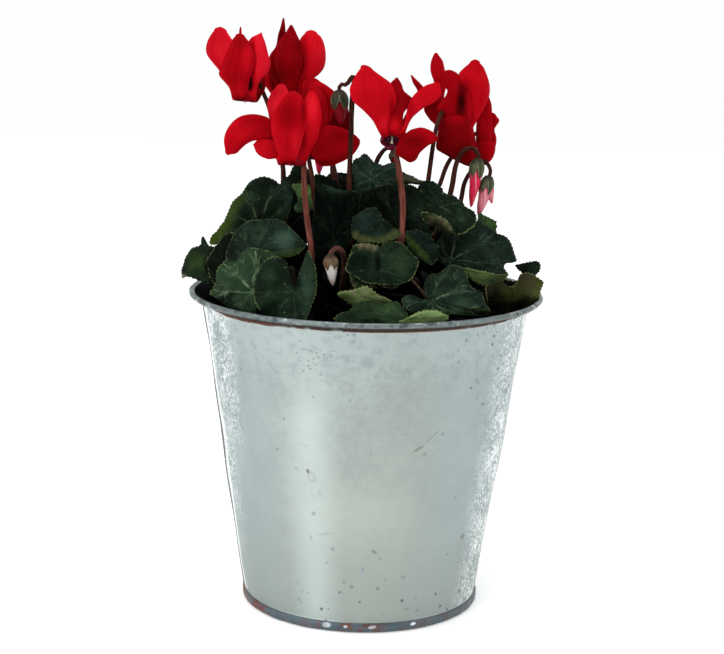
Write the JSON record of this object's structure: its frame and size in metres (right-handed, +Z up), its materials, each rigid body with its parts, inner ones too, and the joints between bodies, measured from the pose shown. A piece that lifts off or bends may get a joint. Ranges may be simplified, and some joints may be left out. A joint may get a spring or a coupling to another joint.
{
  "type": "potted cyclamen",
  "caption": "Mini cyclamen in a tapered galvanised pot with a rolled rim: red flowers and nodding buds on bare stems over a mound of marbled heart-shaped leaves.",
  "frame": {"origin": "centre of the pot's foot ring, on the surface the pot stands on", "axes": "+Z up along the pot's axis, -Y towards the side seen first, +X to the right from there"},
  "size_m": [0.1395, 0.135, 0.2223],
  "materials": {
    "galvanised": "satin hot-dip zinc with mottling, scratches and a rust line under the rolled rim",
    "soil": "dark crumbly peat potting soil, matte",
    "corm": "corky brown corm, matte",
    "leaf": "satin waxy leaf, dark green with pale silvery veins, brownish stalk",
    "petal": "soft velvety petal, bright red",
    "stem": "smooth fleshy stalk, reddish brown, with a brown-green calyx",
    "bud": "furled pink to red petals with white bases in pale green-brown sepals, on a brown-red stalk"
  },
  "bodies": {
    "root": {"bud_1": "bud", "bud_2": "bud", "bud_3": "bud", "bud_4": "bud", "bud_5": "bud", "bud_6": "bud", "corm": "corm", "flower_1_petals": "petal", "flower_1_stem": "stem", "flower_2_petals": "petal", "flower_2_stem": "stem", "flower_3_petals": "petal", "flower_3_stem": "stem", "flower_4_petals": "petal", "flower_4_stem": "stem", "flower_5_petals": "petal", "flower_5_stem": "stem", "flower_6_petals": "petal", "flower_6_stem": "stem", "flower_7_petals": "petal", "flower_7_stem": "stem", "leaf_back_far_left_low": "leaf", "leaf_back_left_high": "leaf", "leaf_back_left_low": "leaf", "leaf_back_middle_high": "leaf", "leaf_back_middle_left_low": "leaf", "leaf_back_middle_right_low": "leaf", "leaf_back_right_high": "leaf", "leaf_back_right_low": "leaf", "leaf_behind_stems_left": "leaf", "leaf_behind_stems_right": "leaf", "leaf_centre_dark": "leaf", "leaf_centre_grey": "leaf", "leaf_centre_left_deep": "leaf", "leaf_centre_right_small": "leaf", "leaf_far_right": "leaf", "leaf_folded_right": "leaf", "leaf_front_centre": "leaf", "leaf_front_centre_lower": "leaf", "leaf_front_curl": "leaf", "leaf_front_left": "leaf", "leaf_front_low": "leaf", "leaf_front_right": "leaf", "leaf_left_front_high": "leaf", "leaf_left_front_low": "leaf", "leaf_left_inner": "leaf", "leaf_left_rim": "leaf", "leaf_on_rim": "leaf", "leaf_right": "leaf", "leaf_right_back_small": "leaf", "leaf_right_rim": "leaf", "leaf_right_strip": "leaf", "leaf_right_top_small": "leaf", "leaf_top_centre": "leaf", "leaf_upper_left": "leaf", "leaf_upper_right": "leaf", "leaf_young_bright": "leaf", "pot_base": "galvanised", "pot_wall": "galvanised", "soil": "soil"}
  },
  "joints": []
}
